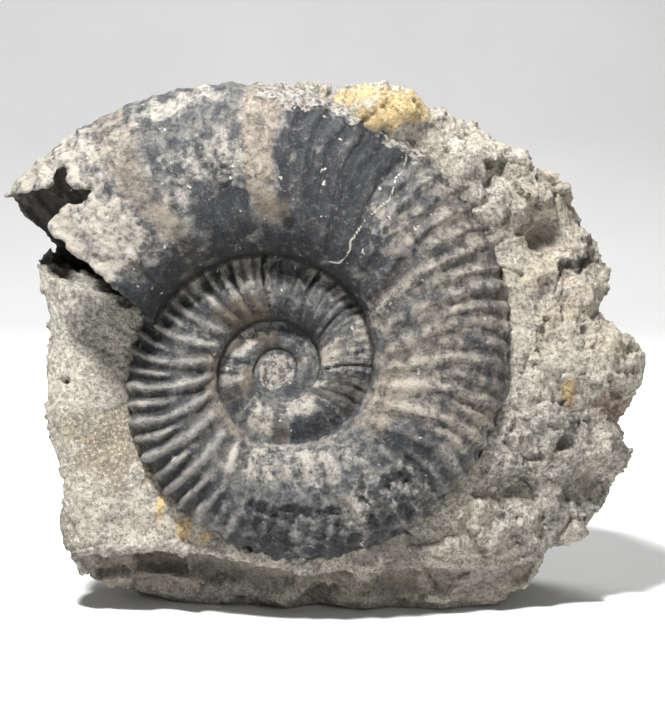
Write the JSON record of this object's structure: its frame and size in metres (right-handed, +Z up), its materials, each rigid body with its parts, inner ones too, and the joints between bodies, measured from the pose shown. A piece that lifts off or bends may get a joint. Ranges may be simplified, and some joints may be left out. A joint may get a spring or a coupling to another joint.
{
  "type": "ammonite fossil",
  "caption": "Ribbed, coiled ammonite shell with a broken, hollow mouth, in a rough block of sandy limestone that stands on its flat underside.",
  "frame": {"origin": "middle of the block's footprint, on the surface that it stands on", "axes": "+X across the block, away from the shell's mouth; -Y the way the fossil faces; +Z up"},
  "size_m": [0.2936, 0.1104, 0.2459],
  "materials": {
    "shell_stone": "worn, satin",
    "limestone": "rough, granular"
  },
  "bodies": {
    "root": {"ammonite": "shell_stone", "matrix": "limestone"}
  },
  "joints": []
}
